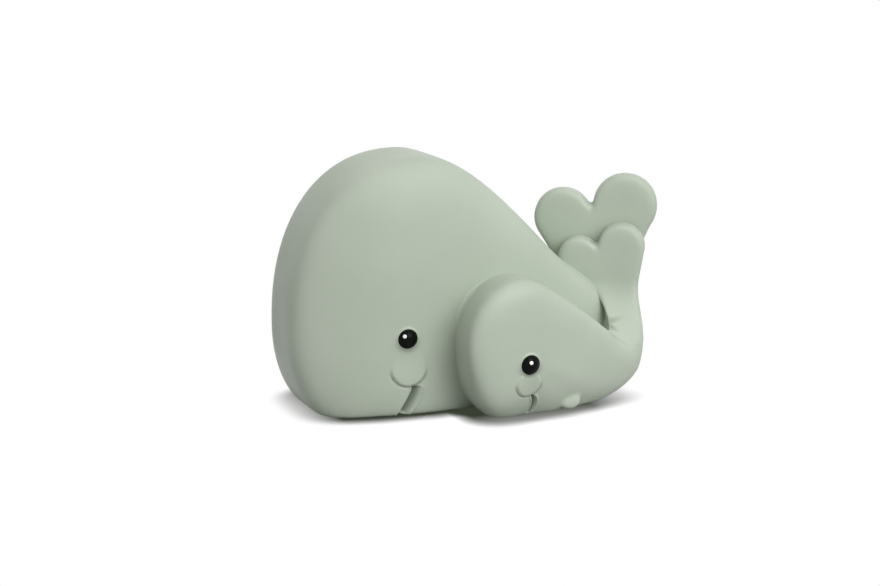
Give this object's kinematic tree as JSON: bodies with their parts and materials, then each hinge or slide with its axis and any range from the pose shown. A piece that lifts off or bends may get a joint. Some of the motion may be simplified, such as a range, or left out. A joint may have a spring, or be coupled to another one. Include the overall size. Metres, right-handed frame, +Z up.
{
  "type": "whale teether",
  "caption": "Hollow rubber bath and teething toy: a whale with a calf against its side, raised heart-shaped tails, bead eyes, flat feet to stand on.",
  "frame": {"origin": "middle of the plug in the mother's foot, on the surface the toy stands on", "axes": "the whales face -X, the calf lies on the mother's -Y side, +Z is up from the surface"},
  "size_m": [0.1162, 0.062, 0.0733],
  "materials": {
    "rubber": "satin matte sage-green natural rubber",
    "eye_black": "glossy black",
    "eye_white": "glossy white"
  },
  "bodies": {
    "root": {"mother_body": "rubber", "mother_tail": "rubber", "mother_near_eye": "eye_black", "mother_far_eye": "eye_black", "mother_near_glint": "eye_white", "mother_far_glint": "eye_white", "mother_plug": "rubber", "calf_body": "rubber", "calf_tail": "rubber", "calf_fin": "rubber", "calf_eye": "eye_black", "calf_glint": "eye_white"}
  },
  "joints": []
}
